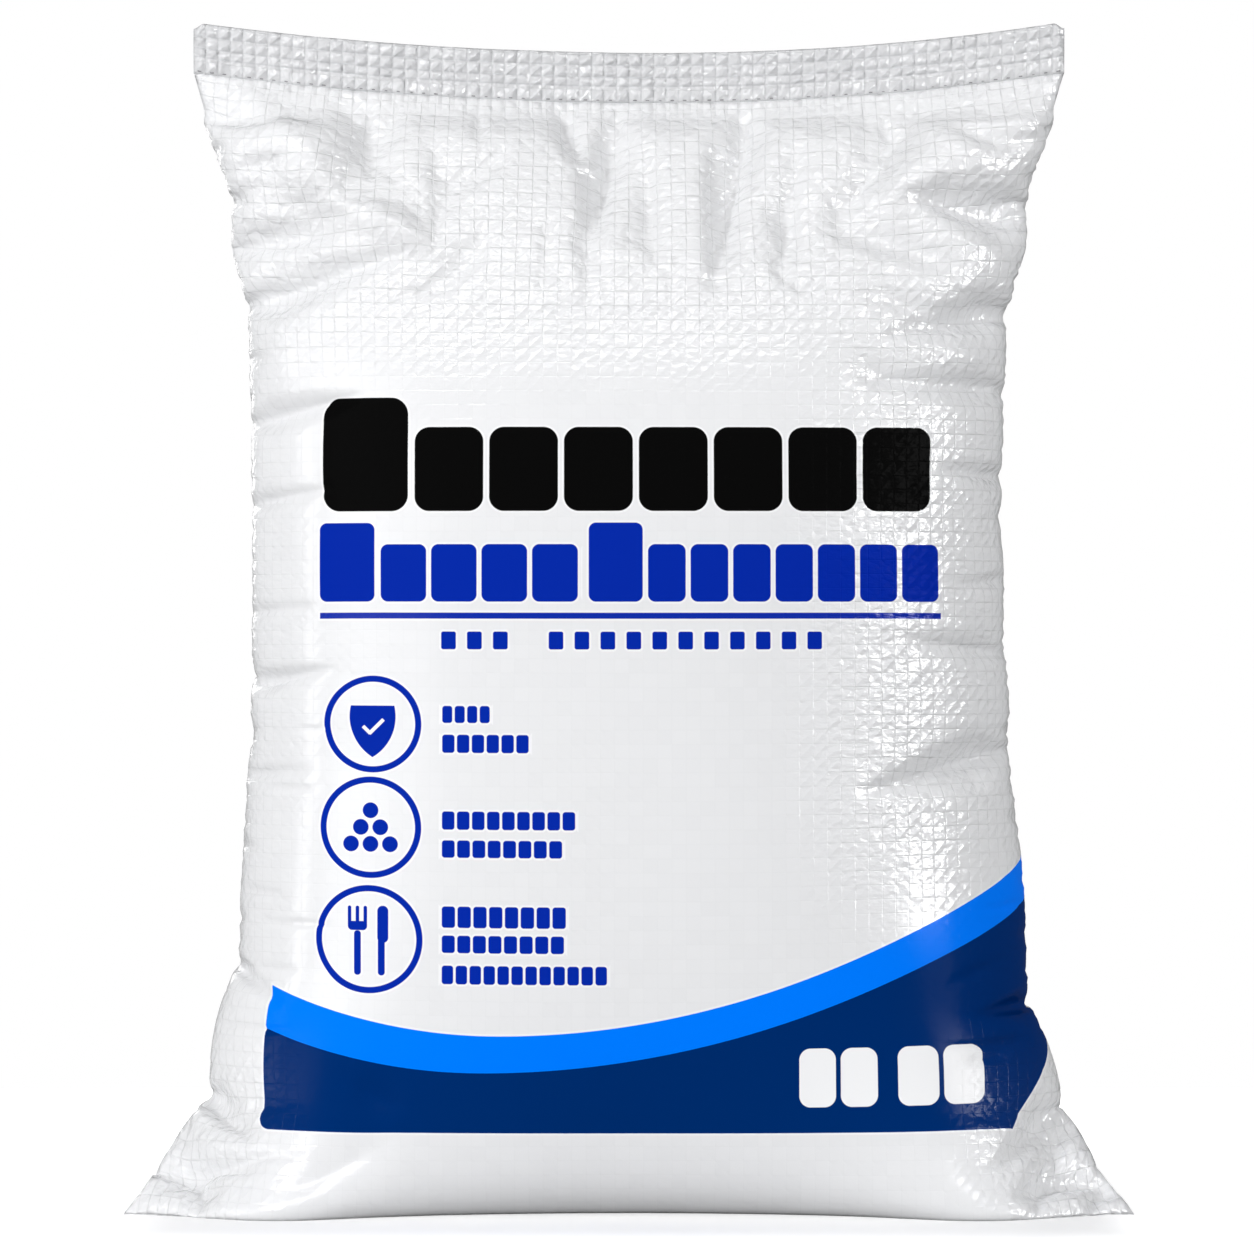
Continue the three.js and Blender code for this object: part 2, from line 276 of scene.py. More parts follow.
def outward(points):
    """Unit normals of a closed stack of outlines: (step round) x (step up)."""
    around = np.roll(points, -1, axis=1) - np.roll(points, 1, axis=1)
    up = np.gradient(points, axis=0)
    normal = np.cross(around, up)
    return normal / np.maximum(np.linalg.norm(normal, axis=-1, keepdims=True), 1e-12)


def refine(points, rows, columns):
    """Points of a finer grid, straight between those of the coarse one."""
    old_rows, old_columns = points.shape[:2]
    r = np.linspace(0, old_rows - 1, rows)
    c = np.arange(columns) * old_columns / columns
    r0 = np.minimum(r.astype(int), old_rows - 2)
    c0 = c.astype(int)
    fr, fc = (r - r0)[:, None, None], (c - c0)[None, :, None]
    c1 = (c0 + 1) % old_columns
    low = points[r0][:, c0] * (1 - fc) + points[r0][:, c1] * fc
    high = points[r0 + 1][:, c0] * (1 - fc) + points[r0 + 1][:, c1] * fc
    return low * (1 - fr) + high * fr


# %% How loose and how free the film is
def spare_cloth(points, along):
    """Share of extra length across and up the film. Across: the flat tube's length against each outline,
    above the shoulder. Up: most at the side edges, where the tube is folded, over the ears and at the top."""
    x, z = points[..., 0], points[..., 2]
    t = np.abs(x) / half_width(z)
    edge = ease(0.60, 0.97, t)
    top = ease(0.445, 0.555, z)
    foot = 1 - ease(0.050, 0.150, z)
    outline = 2 * np.abs(along[:, :1])
    across = np.clip(2 * HEM_WIDTH / outline - 1, 0, 0.04) * ease(0.455, 0.545, z)
    ear = foot * ease(0.80, 0.97, t)
    across = across + 0.004 + 0.03 * ear
    up = 0.004 + edge * (0.024 + 0.06 * top) + 0.05 * ear + 0.026 * top * (1 - edge)
    return across, up


def room(points):
    """How far the film may stand off the smooth form, inwards and outwards: hardly at all where the sugar
    is packed, and inwards at most half of the half thickness."""
    x, z = points[..., 0], points[..., 2]
    t = np.abs(x) / half_width(z)
    edge = ease(0.45, 0.90, t)
    top = ease(0.430, 0.530, z)
    foot = 1 - ease(0.040, 0.130, z)
    inner = 0.0010 + 0.0060 * edge + 0.008 * top * (1 - edge) + 0.003 * foot
    outer = 0.0010 + 0.0015 * edge + 0.0055 * top
    held = 1 - ease(SEAM_HEIGHT - 0.026, SEAM_HEIGHT - 0.004, z)
    return np.minimum(inner, 0.5 * half_thickness(points)) * held, outer * held


# %% The cloth solver
def relax(points, form, along, steps, press, bend):
    """Moves the points until every link has nearly its own length: position based dynamics without time.
    Each step presses the film outwards, corrects the links batch by batch, and keeps the film in its room."""
    rows, columns = form.shape[:2]
    across, up = spare_cloth(form, along)
    inner, outer = (field.reshape(-1) for field in room(form))
    normal = outward(form).reshape(-1, 3)
    base = form.reshape(-1, 3)
    flat = points.reshape(-1, 3).copy()
    spare = {(0, 1): across, (1, 0): up, (1, 1): (across + up) / 2, (1, -1): (across + up) / 2,
             (0, 2): across, (2, 0): up}
    strength = {(0, 1): (0.9, 0.7), (1, 0): (0.9, 0.7), (1, 1): (0.35, 0.35), (1, -1): (0.35, 0.35),
                (0, 2): (0, bend), (2, 0): (0, bend)}
    batches = []
    for step, extra in spare.items():
        for a, b in links(rows, columns, *step):
            rest = np.linalg.norm(base[a] - base[b], axis=1) * (1 + extra.reshape(-1)[a])
            batches.append((a, b, rest, *strength[step]))
    held = np.zeros((rows, columns), bool)
    held[0] = held[-1] = True
    held = held.reshape(-1)
    for _ in range(steps):
        flat += press * normal
        for a, b, rest, pull, push in batches:
            way = flat[b] - flat[a]
            length = np.sqrt(np.einsum("ij,ij->i", way, way)) + 1e-9
            gap = length - rest
            way *= (np.where(gap > 0, pull, push) * 0.5 * gap / length)[:, None]
            flat[a] += way
            flat[b] -= way
        offset = flat - base
        off = np.einsum("ij,ij->i", offset, normal)
        slide = offset - off[:, None] * normal
        far = np.sqrt(np.einsum("ij,ij->i", slide, slide)) + 1e-9
        slide *= np.minimum(1, 0.006 / far)[:, None]
        flat = base + slide + np.clip(off, -inner, outer)[:, None] * normal
        flat[:, 2] = np.maximum(flat[:, 2], 0)
        flat[held] = base[held]
    return flat.reshape(rows, columns, 3)


# %% [markdown]
# ## From coarse to fine
# Large folds settle quickly on a coarse net of points, and small ones need a fine net. So the film is
# solved three times, and each finer net starts from the shape that the coarser one found.

# %% Solve from coarse to fine
BUILT_IN = 0.8  # share of each crease that is part of the form, the rest is left to the solver
# Rows, columns, steps, how far each step presses outwards, stiffness against bending, first roughness.
stages = [
    (76, 80, 240, 0.020e-3, 0.08, 1.5e-3),
    (151, 160, 140, 0.012e-3, 0.04, 0.5e-3),
    (301, 320, 90, 0.006e-3, 0.02, 0.15e-3),
]
film = None
for rows, columns, steps, press, bend, rough in stages:
    began = time.time()
    form, along = smooth_form(rows, columns, SEAM_HEIGHT)
    form = form - shift_form
    back = np.broadcast_to(np.arange(columns) > columns // 2, form.shape[:2])
    pressed = crease_depth(form, back)[..., None] * outward(form)
    form = form - BUILT_IN * pressed
    if film is None:
        start = form - (1 - BUILT_IN) * pressed
    else:
        start = form + refine(film - old_form, rows, columns)
    start = start + rough * rng.standard_normal(form.shape[:2])[..., None] * outward(form)
    film = relax(start, form, along, steps, press, bend)
    old_form = form
    off = ((film - form) * outward(form)).sum(-1)
    print("film", film.shape, "off the form by", off.min(), off.max(), "took", time.time() - began)


# %% [markdown]
# ## From points to a closed skin
# The solved points are joined into faces all round, and the base and the mouth are closed by lids that
# run straight from the front to the back. A closed skin has an inside, as the filled sack has.

# %% Faces for closed stacks of outlines
def make_mesh(name, points, faces):
    """A smooth-shaded object at the origin, its place in its points."""
    mesh = bpy.data.meshes.new(name)
    mesh.from_pydata(points.reshape(-1, 3).tolist(), [], faces)
    mesh.shade_smooth()
    piece = bpy.data.objects.new(name, mesh)
    bpy.context.scene.collection.objects.link(piece)
    return piece


def ring_faces(rows, columns):
    """Quads between neighbouring outlines, all the way round."""
    r, c = np.meshgrid(np.arange(rows - 1), np.arange(columns), indexing="ij")
    here, there = r * columns + c, r * columns + (c + 1) % columns
    return np.stack([here, there, there + columns, here + columns], -1).reshape(-1, 4)


def lid_faces(first, columns, down):
    """Quads from the front half of an outline straight across to its back half."""
    i = np.arange(1, columns // 2 - 1)
    quads = np.stack([first + i, first + i + 1, first + columns - i - 1, first + columns - i], -1)
    return quads[:, ::-1] if down else quads


def closed_faces(rows, columns):
    """Faces round all outlines, and a lid with a triangle at both its tips on the first and the last one."""
    faces = ring_faces(rows, columns).tolist()
    half = columns // 2
    for first, down in ((0, True), ((rows - 1) * columns, False)):
        tips = [[first, first + 1, first + columns - 1], [first + half - 1, first + half, first + half + 1]]
        faces += lid_faces(first, columns, down).tolist()
        faces += [tip[::-1] if down else tip for tip in tips]
    return faces


# %% The sack's mesh
rows, columns = film.shape[:2]
faces = closed_faces(rows, columns)
sack = make_mesh("sack_film", film, faces)
mesh = sack.data
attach(sack, "root")
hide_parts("sack")
print("sack", len(mesh.vertices), "points", len(mesh.polygons), "faces")

# %% [markdown]
# ## Every point's place on the flat cloth
# A sack is printed while its cloth is still flat. So every corner of the mesh keeps its place on that flat
# cloth: metres round from the middle of the front, and metres up from the lower seam.

# %% Places on the cloth
UNDER = 0.015  # the lower seam lies under the foot, so the cloth is this much longer than the sack is high
corner = np.zeros(len(mesh.loops), np.int32)
mesh.loops.foreach_get("vertex_index", corner)
owner = np.repeat(np.arange(len(mesh.polygons)), [len(face) for face in faces])
column = corner % columns
wraps = np.zeros(len(mesh.polygons), bool)
wraps[: (rows - 1) * columns] = np.arange((rows - 1) * columns) % columns == columns - 1
column = np.where(wraps[owner] & (column == 0), columns, column)
level = np.linspace(0, SEAM_HEIGHT, rows)
half_outline = -along[:, 0]
from_middle = half_outline[corner // columns] * (4 * column / columns - 1)
cloth = np.stack([from_middle, level[corner // columns] + UNDER], -1).astype(np.float32)
mesh.uv_layers.new(name="cloth").data.foreach_set("uv", cloth.reshape(-1))

# Parts of the front that have print: left, right, low, high on the cloth, in millimetres. Each part has a
# material of its own, which works out only the shapes that are there, and all the rest is plain film.
PRINT_PARTS = {
    "film_with_rows": (-266, 266, 313, 470),
    "film_with_signs": (-266, 12, 50, 313),
    "film_with_bands": (12, 266, 50, 313),
}
face_size = np.bincount(owner)
first_corner = np.concatenate([[0], np.cumsum(face_size)[:-1]])
round_, up = (1000 * np.add.reduceat(cloth, first_corner) / face_size[:, None]).T
film_kind = np.zeros(len(faces), np.int32)
for number, (left, right, low, high) in enumerate(PRINT_PARTS.values(), start=1):
    film_kind[(round_ > left) & (round_ <= right) & (up > low) & (up <= high)] = number
mesh.polygons.foreach_set("material_index", film_kind)
print("cloth", cloth.min(0), cloth.max(0), "faces of each kind of film", np.bincount(film_kind))

# %% How strongly the weave shows
# All over the top, in a band on the right, and near the edges and ears.
x, z = form[..., 0], form[..., 2]
t = np.abs(x) / half_width(z)
loose = ease(0.435, 0.500, z) * 0.9
loose = np.maximum(loose, 0.95 * ease(0.070, 0.150, x) * (1 - ease(0.95, 1.0, t)) * ease(0.13, 0.24, z))
loose = np.maximum(loose, 0.4 * ease(0.75, 1.0, t))
loose = np.maximum(loose, ease(0.68, 0.90, t) * (1 - ease(0.05, 0.12, z)))
share = mesh.attributes.new("loose", "FLOAT", "POINT")
share.data.foreach_set("value", loose.reshape(-1).astype(np.float32))
print("loose film", loose.min(), loose.max())


# %% [markdown]
# ## The hem
# The mouth of the sack is folded over and sewn. The folded layers are pressed together, and the tapes of
# the weave show through them as puffed cells between grooves. The hem is a closed flat tube: one profile
# that goes up the front, over the fold and down the back, carried along the sack from corner to corner.

# %% The hem's mesh
HEM_CELLS = 70  # cells side by side along the hem
HEM_CELL = HEM_WIDTH / HEM_CELLS
HEM_RELIEF = 0.0013  # how far a cell puffs out
HEM_LINES = np.array([0.0, 0.0089, 0.0139, 0.0207, HEM_TALL])  # heights of the grooves along the hem
HEM_ROWS = len(HEM_LINES) - 1
HEM_FOLD = 0.0018  # height of the round fold along the top


def waves(x, w, seed, lengths, size):
    """Sum of a few sines across and up the band, each with its own random direction and phase."""
    draw = np.random.default_rng(seed)
    total = np.zeros(np.broadcast(x, w).shape)
    for length in lengths:
        angle, phase = draw.uniform(-0.5, 0.5), draw.uniform(0, 2 * np.pi)
        total += np.sin(2 * np.pi * (x * np.cos(angle) + w * 2 * np.sin(angle)) / length + phase) * length
    return size * total / sum(lengths)


def cell_puff(x, w, seed):
    """Relief of the quilted cells: (1 - |a|^4)(1 - |b|^3) for a, b in -1..1 over a cell, times a random height
    and a random tilt for each cell, and calmer along some stretches of the hem."""
    draw = np.random.default_rng(seed)
    column = np.clip((x + HEM_WIDTH / 2) / HEM_CELL, 0, HEM_CELLS - 0.001)
    row = np.clip(np.searchsorted(HEM_LINES, w, side="right") - 1, 0, HEM_ROWS - 1)
    a = 2 * (column % 1) - 1
    b = 2 * (w - HEM_LINES[row]) / (HEM_LINES[row + 1] - HEM_LINES[row]) - 1
    b = np.clip(b, -1, 1)
    index = (column.astype(int), row)
    high = draw.uniform(0.55, 1.25, (HEM_CELLS, HEM_ROWS))[index]
    lean = draw.uniform(-0.9, 0.9, (HEM_CELLS, HEM_ROWS))[index]
    tip = draw.uniform(-0.9, 0.9, (HEM_CELLS, HEM_ROWS))[index]
    calm = 0.60 + 0.40 * ease(-0.5, 0.2, waves(x, w, seed + 1, (0.05, 0.083, 0.13), 2.2))
    puff = (1 - np.abs(a) ** 4) * (1 - np.abs(b) ** 3)
    return puff * high * calm * (1 + lean * a + tip * b)


def hem_mesh():
    """Loops of the profile, one for each place along the hem: flat sides, and a quarter round on each side of
    the fold, up = fold sin(turn) and half thickness times cos(turn)."""
    across = np.linspace(-HEM_WIDTH / 2, HEM_WIDTH / 2, HEM_CELLS * 9 + 1)
    turn = np.linspace(0, np.pi / 2, 5)[1:]
    straight = np.linspace(0, HEM_TALL - HEM_FOLD, 40)
    up = np.concatenate([[-0.0006], straight, HEM_TALL - HEM_FOLD * (1 - np.sin(turn))])
    half = np.full(len(up), HEM_THICKNESS / 2 - 0.0003)
    half[0] = 0.0006
    half[-4:] *= np.cos(turn)
    x, w = np.meshgrid(across, up, indexing="ij")
    thick = np.broadcast_to(half, x.shape)
    ends = ease(0, 0.004, HEM_WIDTH / 2 - np.abs(x)) * 0.75 + 0.25
    inner = place(SEAM_HEIGHT + np.zeros_like(x), x, 0 * x)
    corner = 0.0035 * (1 - ease(0, 0.006, HEM_WIDTH / 2 - np.abs(x))) * ease(0.018, HEM_TALL, w)
    bow = waves(x, w, 3, (0.031, 0.047, 0.09, 0.15), 0.0011) * ease(0, 0.012, w)
    z = inner[..., 2] + w - corner
    puffed = HEM_RELIEF * (thick > 0.0012)  # not at the lower edge and not over the fold
    front_out = thick * ends + puffed * cell_puff(x, w, 11)
    back_out = thick * ends + puffed * cell_puff(x, w, 29)
    front = np.stack([x, inner[..., 1] + bow - front_out, z], -1)
    behind = np.stack([x, inner[..., 1] + bow + back_out, z], -1)
    bottom = (front[:, :1] + behind[:, :1]) / 2
    top = (front[:, -1:] + behind[:, -1:]) / 2
    return np.concatenate([bottom, front[:, :-1], top, behind[:, :-1][:, ::-1]], 1) - shift_form


loop = hem_mesh()
hem = make_mesh("hem", loop, closed_faces(*loop.shape[:2]))
print("hem", len(hem.data.vertices), "points,", loop.shape[1], "round the profile")


# %% [markdown]
# ## The stitches
# A row of thread closes the sack just above the hem's lower edge, front and back. A stitch is a short
# rounded bar that dips into the film at both ends, so that the row reads as thread going in and out.

# %% The stitches
THREAD_RADIUS = 0.00036
STITCH_HALF = 0.0013  # half the length of a stitch
STITCH_DIP = 0.0006  # how deep its ends go into the film
STITCH_LIFT = 0.0009  # how far the row lies above the hem's lower edge
RINGS, SIDES = 9, 8  # points along and round one stitch


def stitch_mesh():
    """Bars along x: radius r sqrt(1 - u^6) and a dip of u^4 for u in -1..1, with eight sides."""
    u = np.linspace(-1, 1, RINGS)
    turn = np.arange(SIDES) * 2 * np.pi / SIDES
    radius = THREAD_RADIUS * np.sqrt(np.maximum(0, 1 - u**6))[:, None]
    length = np.broadcast_to(u[:, None] * STITCH_HALF, (RINGS, SIDES))
    bar = np.stack([length, radius * np.cos(turn), radius * np.sin(turn)], -1)
    middle = (np.arange(HEM_CELLS) - (HEM_CELLS - 1) / 2) * HEM_CELL
    centre = place(SEAM_HEIGHT + 0 * middle, middle, 0 * middle)
    slope = np.gradient(centre[:, 2], middle)
    dip = STITCH_DIP * u**4
    points = []
    for side in (-1, 1):
        spot = np.zeros((HEM_CELLS, RINGS, SIDES, 3)) + bar
        spot[..., 0] += middle[:, None, None]
        spot[..., 1] += (centre[:, 1] + side * (HEM_THICKNESS / 2 + 0.00005))[:, None, None] - side * dip[:, None]
        spot[..., 2] += (centre[:, 2] + STITCH_LIFT)[:, None, None] + slope[:, None, None] * bar[..., 0]
        points.append(spot)
    return np.concatenate(points) - shift_form


bars = stitch_mesh()
last = (RINGS - 1) * SIDES  # the first point of the last ring
caps = np.array([
    [7, 6, 5, 4], [3, 2, 1, 0], [7, 4, 3, 0],
    [last, last + 1, last + 2, last + 3], [last + 4, last + 5, last + 6, last + 7],
    [last, last + 3, last + 4, last + 7],
])
one = np.concatenate([ring_faces(RINGS, SIDES), caps])
all_faces = (np.arange(len(bars))[:, None, None] * RINGS * SIDES + one[None]).reshape(-1, 4)
stitches = make_mesh("stitches", bars, all_faces.tolist())
print("stitches", len(bars))
for piece in (hem, stitches):
    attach(piece, "root")

# %% [markdown]
# ## Formulas as materials
# A print is not a picture here. Each printed shape is a distance: how far a point of the cloth lies from the
# shape's edge, below zero inside it. Every point of the film knows its own place on the flat cloth, from its
# UV map, so the print is sharp at any size and bends with every crease. This short helper turns formulas
# into nodes.

# %% Formulas as nodes
class Recipe:
    """A material whose nodes are written as formulas. Every call adds one node and gives its output."""

    def __init__(self, name):
        self.material = bpy.data.materials.new(name)
        self.material.use_nodes = True
        self.tree = self.material.node_tree
        self.shader = self.tree.nodes["Principled BSDF"]

    def join(self, value, socket):
        if isinstance(value, bpy.types.NodeSocket):
            self.tree.links.new(value, socket)
        else:
            socket.default_value = value

    def node(self, kind, inputs, output=0, **settings):
        node = self.tree.nodes.new(kind)
        for key, value in settings.items():
            setattr(node, key, value)
        for key, value in inputs.items():
            self.join(value, node.inputs[key])
        return node.outputs[output]

    def math(self, operation, *values, clamp=False):
        return self.node("ShaderNodeMath", dict(enumerate(values)), operation=operation, use_clamp=clamp)

    def vector(self, operation, *values, output=0):
        return self.node("ShaderNodeVectorMath", dict(enumerate(values)), output, operation=operation)

    def times(self, a, b):
        return self.math("MULTIPLY", a, b)

    def minus(self, a, b):
        return self.math("SUBTRACT", a, b)

    def most(self, a, b):
        return self.math("MAXIMUM", a, b)

    def fit(self, value, factor, plus):
        """value * factor + plus"""
        return self.math("MULTIPLY_ADD", value, factor, plus)

    def total(self, *values):
        result = values[0]
        for value in values[1:]:
            result = self.math("ADD", result, value)
        return result

    def least(self, *values):
        result = values[0]
        for value in values[1:]:
            result = self.math("MINIMUM", result, value)
        return result

    def smooth(self, value, start, end, low=0.0, high=1.0):
        """low to high as value goes from start to end, by a smooth step."""
        return self.node("ShaderNodeMapRange", {"Value": value, "From Min": start, "From Max": end,
                                                "To Min": low, "To Max": high}, interpolation_type="SMOOTHSTEP")

    def noise(self, place, scale, detail):
        return self.node("ShaderNodeTexNoise", {"Vector": place, "Scale": scale, "Detail": detail})

    def pair(self, x, z):
        return self.node("ShaderNodeCombineXYZ", {"X": x, "Y": z})

    def blend(self, share, a, b):
        """Colour a where share is 0, colour b where it is 1."""
        return self.node("ShaderNodeMix", {"Factor": share, "A": a, "B": b}, 2, data_type="RGBA")

    def box(self, point, x, z, wide, tall, corner):
        """Distance to a box with round corners: length of max(|p - centre| - half + corner, 0), less corner."""
        away = self.vector("ABSOLUTE", self.vector("SUBTRACT", point, (x, z, 0)))
        away = self.vector("SUBTRACT", away, (wide / 2 - corner, tall / 2 - corner, 0))
        away = self.vector("MAXIMUM", away, (0, 0, 0))
        return self.minus(self.vector("LENGTH", away, output=1), corner)

    def disc(self, point, x, z, radius):
        """Distance to a disc: distance to its centre, less its radius."""
        return self.minus(self.vector("DISTANCE", point, (x, z, 0), output=1), radius)

    def ring(self, point, x, z, radius, line):
        """Distance to a drawn circle: |distance to the disc in the middle of the line| less half the line."""
        middle = self.disc(point, x, z, radius - line / 2)
        return self.minus(self.math("ABSOLUTE", middle), line / 2)

    def row(self, x, z, left, right, low, high, count, gap, corner):
        """A row of equal blocks: x is folded into one pitch, then it is one box, cut off at the row's two ends."""
        pitch = (right - left) / count
        turns = self.times(self.minus(x, left), 1 / pitch)
        folded = self.times(self.minus(self.math("FRACT", turns), 0.5), pitch)
        block = self.box(self.pair(folded, z), 0, (low + high) / 2, pitch - gap, high - low, corner)
        ends = self.minus(self.math("ABSOLUTE", self.minus(x, (left + right) / 2)),
                         (right - left) / 2)
        return self.most(block, ends)

    def inside(self, distance, soft=0.3):
        """1 inside the edge and 0 outside it, over a soft edge of that many millimetres."""
        return self.math("MULTIPLY_ADD", distance, -1 / soft, 0.5, clamp=True)


# %% The film's colours and its weave
WHITE_FILM = (0.81, 0.815, 0.83, 1)
HEM_FILM = (0.66, 0.665, 0.68, 1)
WHITE_INK = (0.88, 0.885, 0.90, 1)
BLACK_INK = (0.003, 0.003, 0.003, 1)
BLUE_INK = (0.002, 0.022, 0.36, 1)
BRIGHT_BLUE_INK = (0.0, 0.19, 0.98, 1)
NAVY_INK = (0.0, 0.024, 0.142, 1)
# Painted shade: the grey that the grooves between the tapes and the gaps of the hem are darkened towards, as the
# shade in them. Each weave cell is also darkened a little towards it at random, as a tone of its own.
PAINTED_SHADE = (0.30, 0.31, 0.33, 1)  # what the gaps between the tapes darken towards
TAPE = 7.7  # millimetres between two lines of the woven tapes that show through the film


def add_weave(r, s, h, loose, ribs):
    """Height of the film in millimetres. Each cell of the weave is a low roof along its diagonal between two
    narrow grooves, by a random share for each cell, and fine crinkles lie over it where the film is loose."""
    across = r.times(s, 1 / TAPE)
    up = r.times(h, 1 / TAPE)
    fx, fz = r.math("FRACT", across), r.math("FRACT", up)
    side_x = r.math("ABSOLUTE", r.fit(fx, 2.0, -1.0))
    side_z = r.math("ABSOLUTE", r.fit(fz, 2.0, -1.0))
    edge_x, edge_z = r.math("POWER", side_x, 14.0), r.math("POWER", side_z, 14.0)
    cell = r.pair(r.math("FLOOR", across), r.math("FLOOR", up))
    chance = r.node("ShaderNodeTexWhiteNoise", {"Vector": cell}, noise_dimensions="2D")
    roof = r.math("ABSOLUTE", r.minus(fx, fz))
    roof = r.times(roof, r.fit(chance, -0.60, -0.06))
    open_cell = r.minus(1.0, r.math("POWER", r.most(side_x, side_z), 4.0))
    roof = r.times(roof, open_cell)
    lines = r.most(edge_x, edge_z)
    groove = r.times(lines, -0.20)
    weave = r.times(r.total(roof, groove), r.fit(loose, 1.75, 0.20))
    crinkle = r.noise(r.pair(r.times(s, 0.18), r.times(h, 0.34)), 1.0, 2.0)
    crinkle = r.times(r.minus(crinkle, 0.5), r.fit(loose, 0.75, 0.06))
    sharp = r.noise(r.pair(r.times(s, 0.07), r.times(h, 0.13)), 1.0, 1.0)
    sharp = r.math("ABSOLUTE", r.minus(sharp, 0.5))
    sharp = r.times(sharp, r.times(loose, 2.2))
    height = r.total(weave, crinkle, sharp, ribs)
    # Painted shade in the grooves between the tapes, stronger where the film is loose, plus a small random tone for
    # each cell.
    shade_and_tone = r.times(lines, r.fit(loose, 0.05, 0.03))
    shade_and_tone = r.fit(chance, 0.03, shade_and_tone)
    return height, shade_and_tone


def film_shader(r, colour, height, roughness, gloss, calm=None):
    """Gloss is how much clear coat lies over a dull base. Where calm is 1 the relief shows at half its
    strength."""
    bump = r.tree.nodes.new("ShaderNodeBump")
    bump.inputs["Strength"].default_value = 1.0
    bump.inputs["Distance"].default_value = 0.001
    r.join(height, bump.inputs["Height"])
    normal = bump.outputs["Normal"]
    if calm is not None:
        plain = r.tree.nodes.new("ShaderNodeNewGeometry").outputs["Normal"]
        share = r.times(calm, 0.5)
        normal = r.node("ShaderNodeMix", {"Factor": share, 4: normal, 5: plain}, 1, data_type="VECTOR")
        normal = r.vector("NORMALIZE", normal)
    r.join(normal, r.shader.inputs["Normal"])
    r.join(normal, r.shader.inputs["Coat Normal"])
    r.join(colour, r.shader.inputs["Base Color"])
    r.join(roughness, r.shader.inputs["Roughness"])
    r.join(gloss, r.shader.inputs["Coat Weight"])
    r.shader.inputs["Specular IOR Level"].default_value = 0.0
    r.shader.inputs["Coat IOR"].default_value = 1.60
    r.shader.inputs["Coat Roughness"].default_value = 0.17


# %% [markdown]
# ## The print
# The print is fields of colour and simple shapes: rows of blocks in black and blue, three round signs, and
# two swept bands over a foot of plain film. The numbers are millimetres on the front of the sack: x from
# its middle, z up from the lower seam.

# %% The shapes of the print
# box: x, z, width, height, corner. row: left, right, low, high, count, gap, corner. disc: x, z, radius.
# ring: x, z, radius, line. shield: x, z.
BLACK_SHAPES = [("box", -142, 427, 46, 62, 9), ("row", -117, 165, 396, 442, 7, 3.2, 8)]
BLUE_SHAPES = [
    ("box", -152, 368.2, 30, 43, 4), ("row", -135, -26, 346.7, 378, 4, 2.6, 4),
    ("box", -7, 368.2, 29, 43, 4), ("row", 9, 169, 346.7, 378, 7, 2.6, 4),
    ("box", 1.0, 339.1, 336, 3.3, 0.2),
    ("row", -104, -62, 320.8, 330.5, 3, 6.0, 1.2), ("row", -46, 107, 320.8, 330.5, 11, 6.0, 1.2),
]
# Seven small rows beside the signs: low, high, right end, count.
for low, high, right, count in (
    (280.8, 290.1, -74, 4), (264.6, 274.5, -53, 6), (223.1, 233.0, -28, 9), (208.0, 217.4, -35, 8),
    (170.3, 181.8, -33, 8), (156.8, 166.2, -34, 8), (140.1, 150.1, -11, 12),
):
    BLUE_SHAPES.append(("row", -101, right, low, high, count, 1.3, 1.6))
BLUE_SHAPES += [("ring", -138.0, 279.9, 26.4, 3.4), ("ring", -139.0, 223.8, 27.5, 3.4),
                ("ring", -139.8, 163.4, 29.1, 3.4), ("shield", -138.0, 284.0)]
for height, count in ((233.0, 1), (223.9, 2), (214.8, 3)):
    for k in range(count):
        BLUE_SHAPES.append(("disc", -139.0 + (k - (count - 1) / 2) * 10.6, height, 4.3))
BLUE_SHAPES += [  # fork and knife, from bars
    ("box", -146.0, 156.0, 3.8, 24.0, 1.8), ("box", -146.0, 170.5, 10.6, 5.0, 2.4),
    ("box", -150.3, 175.5, 2.0, 11.5, 1.0), ("box", -146.0, 175.5, 2.0, 11.5, 1.0),
    ("box", -141.7, 175.5, 2.0, 11.5, 1.0), ("box", -133.0, 155.0, 3.8, 22.0, 1.8),
    ("box", -132.2, 171.5, 6.0, 20.0, 2.9),
]
WHITE_SHAPES = [("row", 90, 134, 74.5, 105.7, 2, 2.6, 6), ("row", 142, 190, 74.5, 105.7, 2, 2.6, 6)]
SHIELD_REACH = 23.0
FAR = 99.0  # the distance to a shape that is in another part
print("shapes", len(BLACK_SHAPES), len(BLUE_SHAPES), len(WHITE_SHAPES))


def extent(kind, *numbers):
    """Left, right, low and high of a shape."""
    if kind == "row":
        return numbers[:4]
    x, z = numbers[:2]
    if kind == "box":
        wide, tall = numbers[2] / 2, numbers[3] / 2
    else:
        wide = tall = SHIELD_REACH if kind == "shield" else numbers[2]
    return x - wide, x + wide, z - tall, z + tall


def shield(r, p, z, middle, height):
    """Where two large discs overlap, cut off flat on top, with a tick left out. The tick is two bars in a frame
    that is turned by 45 degrees."""
    lens = r.most(r.disc(p, middle - 13.5, height, 26.0), r.disc(p, middle + 13.5, height, 26.0))
    lens = r.most(lens, r.minus(z, height + 6.0))
    away = r.vector("SUBTRACT", p, (middle - 1.5, height - 9.0, 0))
    turned = r.pair(r.vector("DOT_PRODUCT", away, (0.7071, 0.7071, 0), output=1),
                    r.vector("DOT_PRODUCT", away, (-0.7071, 0.7071, 0), output=1))
    tick = r.least(r.box(turned, 5.0, 0.0, 11.0, 1.9, 0.3), r.box(turned, 0.0, 2.4, 1.9, 5.6, 0.3))
    return r.most(lens, r.times(tick, -1.0))


